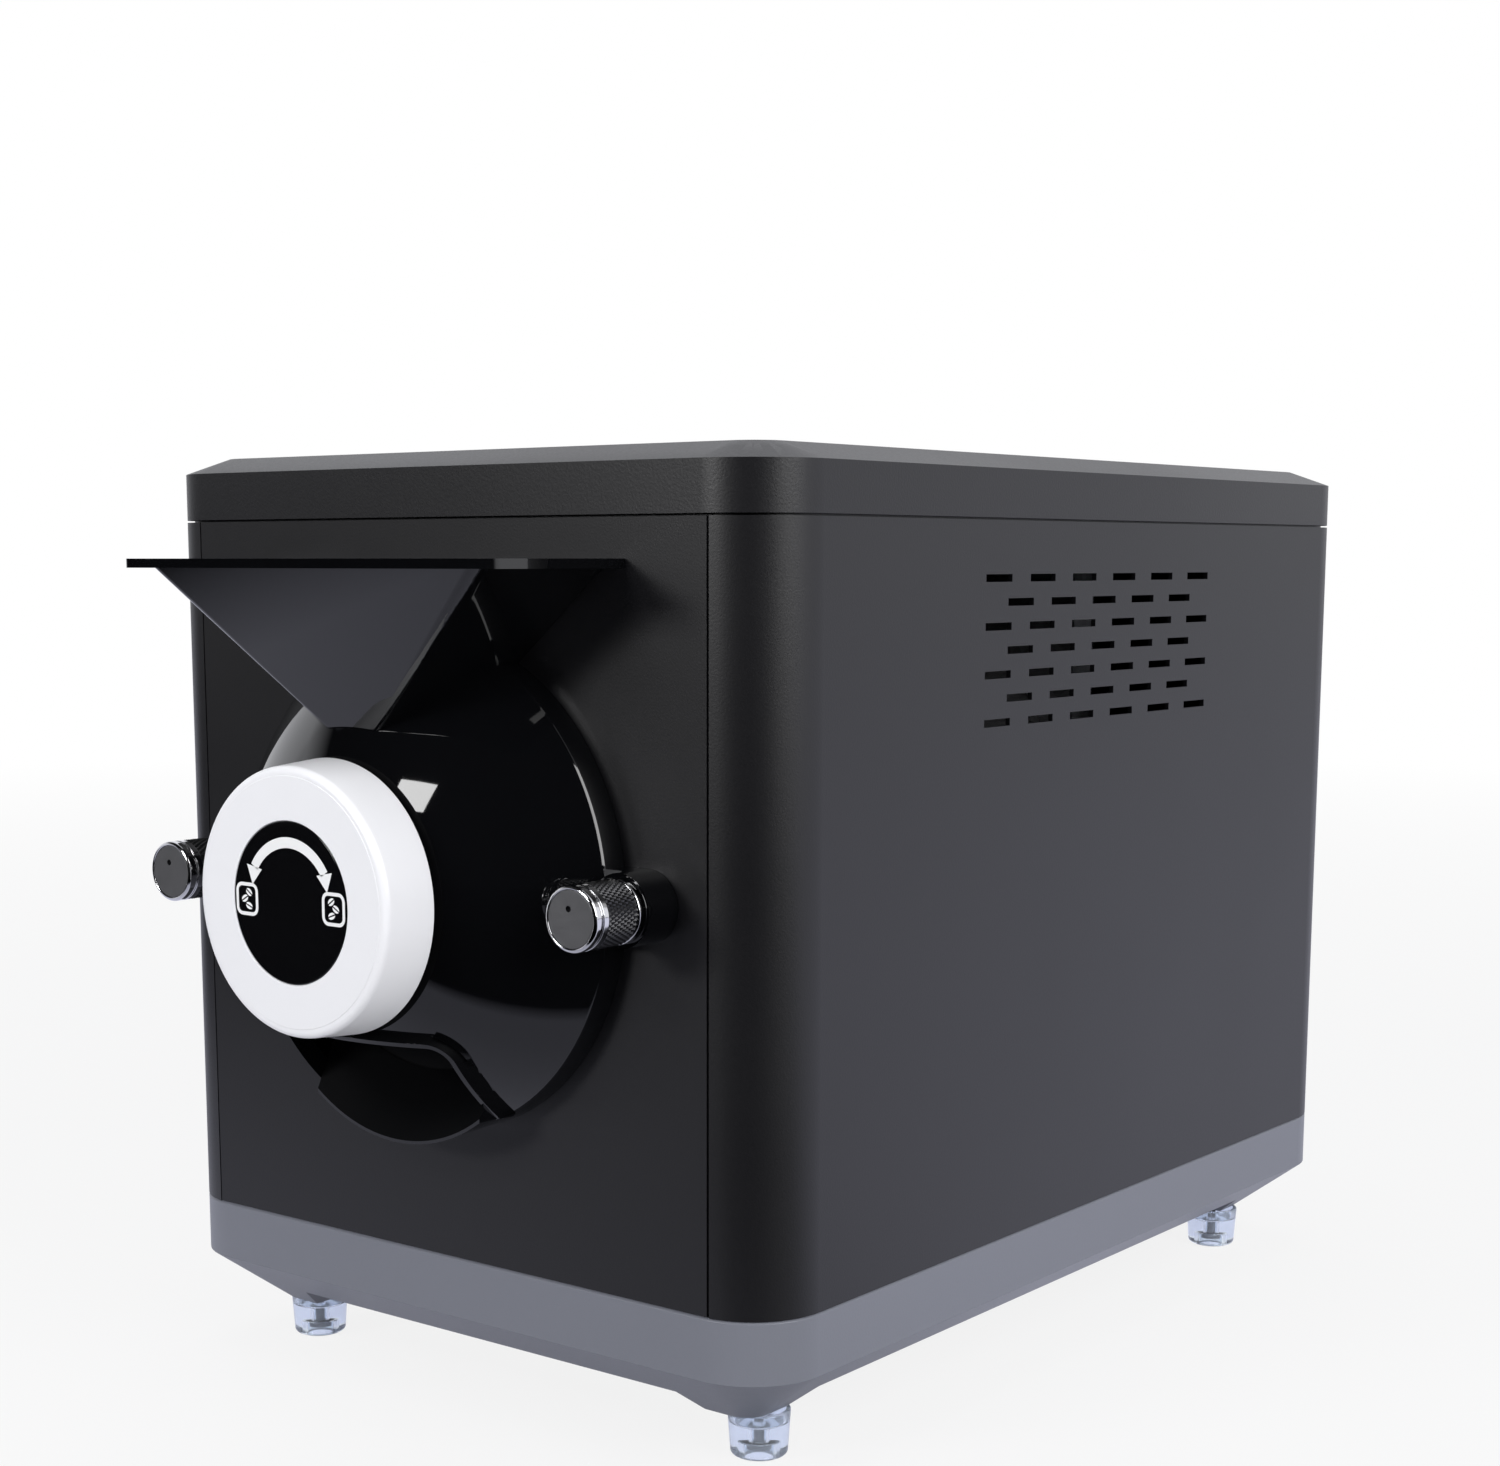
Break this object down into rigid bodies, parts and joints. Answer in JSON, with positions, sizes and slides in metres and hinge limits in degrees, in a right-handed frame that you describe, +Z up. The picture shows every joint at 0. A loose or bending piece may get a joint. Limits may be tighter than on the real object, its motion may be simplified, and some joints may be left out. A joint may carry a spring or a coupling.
{
  "type": "coffee bean roaster",
  "caption": "Countertop drum roaster for coffee: box cabinet, domed front hood with bean hopper, discharge spout and selector knob, rear exhaust collar.",
  "frame": {"origin": "on the table, under the middle of the whole machine's box", "axes": "+Z up, -Y towards the user and the front hood, +X to the right as seen from the front"},
  "size_m": [0.26, 0.4606, 0.3074],
  "materials": {
    "grey_base": "fine satin",
    "clear_soft": "clear, slightly blue",
    "black_panel": "fine matt powder coat",
    "black_cover": "fine matt",
    "screw_black": "black oxide",
    "zinc_sheet": "zinc plated",
    "screw_zinc": "zinc plated",
    "stainless": "stainless",
    "black_steel": "black oxide",
    "heater_metal": "oxidised tube",
    "ceramic": "glazed ceramic",
    "wool": "mineral wool",
    "bearing_steel": "ground steel",
    "gear_steel": "machined steel",
    "cast_alloy": "die cast",
    "motor_can": "plated can",
    "fan_plastic": "moulded",
    "collar_metal": "satin",
    "board": "coated laminate",
    "board_dark": "moulded",
    "socket_black": "moulded",
    "rocker_black": "moulded",
    "pin_brass": "plated",
    "gloss_black": "piano black",
    "white_knob": "satin white",
    "dial_black": "gloss",
    "chrome": "polished",
    "grip_black": "knurled",
    "inlay_grey": "satin"
  },
  "bodies": {
    "cabinet": {"base_tray": "grey_base", "feet": "clear_soft", "foot_screws": "screw_black", "floor_plate": "zinc_sheet", "front_frame": "zinc_sheet", "rear_frame": "zinc_sheet", "frame_screws": "screw_zinc", "weld_nuts": "screw_zinc", "front_panel": "black_panel", "left_side_panel": "black_panel", "right_side_panel": "black_panel", "rear_panel": "black_panel", "rear_panel_screws": "screw_black", "top_cover": "black_cover", "top_cover_screws": "screw_black", "chamber_shell": "stainless", "insulation_jacket": "wool", "heater_rods": "heater_metal", "heater_bushes": "ceramic", "temperature_probe": "stainless", "inner_bearing": "bearing_steel", "outer_bearing": "bearing_steel", "bearing_housing": "cast_alloy", "motor_bracket": "zinc_sheet", "drive_gearbox": "cast_alloy", "drive_motor": "motor_can", "motor_screws": "screw_zinc", "exhaust_duct": "stainless", "fan_frame": "fan_plastic", "exhaust_collar": "collar_metal", "control_board": "board", "board_standoffs": "board_dark", "board_parts": "board_dark", "mains_inlet": "socket_black", "inlet_pins": "pin_brass", "switch_housing": "socket_black"},
    "drum": {"drum_shell": "stainless", "drum_rear_plate": "stainless", "drum_spider": "stainless", "drum_vanes": "stainless", "drum_shaft": "stainless", "drum_gear": "gear_steel"},
    "motor_output": {"motor_pinion": "gear_steel", "motor_shaft": "stainless"},
    "exhaust_fan": {"fan_rotor": "fan_plastic"},
    "front_hood": {"hood": "gloss_black", "hood_back_plate": "stainless", "back_plate_screws": "screw_zinc"},
    "feed_hopper": {"hopper": "gloss_black"},
    "selector": {"gate_disc": "black_steel", "knob_shaft": "stainless", "selector_knob": "white_knob", "knob_face_plate": "dial_black"},
    "left_thumb_screw": {"left_thumb_core": "chrome", "left_thumb_grip": "grip_black", "left_thumb_inlay": "inlay_grey"},
    "right_thumb_screw": {"right_thumb_core": "chrome", "right_thumb_grip": "grip_black", "right_thumb_inlay": "inlay_grey"},
    "power_rocker": {"switch_rocker": "rocker_black"}
  },
  "joints": [
    {"name": "hood_slide", "type": "slide", "parent": "cabinet", "child": "front_hood", "axis": [0, -1, 0], "range_m": [0, 0.1]},
    {"name": "hopper_lift", "type": "slide", "parent": "front_hood", "child": "feed_hopper", "axis": [0, 0, 1], "range_m": [0, 0.06]},
    {"name": "selector_turn", "type": "hinge", "parent": "front_hood", "child": "selector", "pos_m": [0, -0.19875, 0.1743], "axis": [0, -1, 0], "range_deg": [-90, 90]},
    {"name": "left_thumb_turn", "type": "hinge", "parent": "front_hood", "child": "left_thumb_screw", "pos_m": [-0.0862, -0.18875, 0.1743], "axis": [0, -1, 0], "continuous": true},
    {"name": "right_thumb_turn", "type": "hinge", "parent": "front_hood", "child": "right_thumb_screw", "pos_m": [0.0862, -0.18875, 0.1743], "axis": [0, -1, 0], "continuous": true},
    {"name": "drum_spin", "type": "hinge", "parent": "cabinet", "child": "drum", "pos_m": [0, -0.04875, 0.1743], "axis": [0, -1, 0], "continuous": true},
    {"name": "motor_spin", "type": "hinge", "parent": "cabinet", "child": "motor_output", "pos_m": [0, 0.07725, 0.1323], "axis": [0, -1, 0], "continuous": true},
    {"name": "fan_spin", "type": "hinge", "parent": "cabinet", "child": "exhaust_fan", "pos_m": [0, 0.14025, 0.2343], "axis": [0, -1, 0], "continuous": true},
    {"name": "rocker_tilt", "type": "hinge", "parent": "cabinet", "child": "power_rocker", "pos_m": [-0.076, 0.20425, 0.128], "axis": [1, 0, 0], "range_deg": [-16, 0]}
  ],
  "couplings": [
    {"joint": "motor_spin", "follows": "drum_spin", "ratio": -2.5}
  ]
}
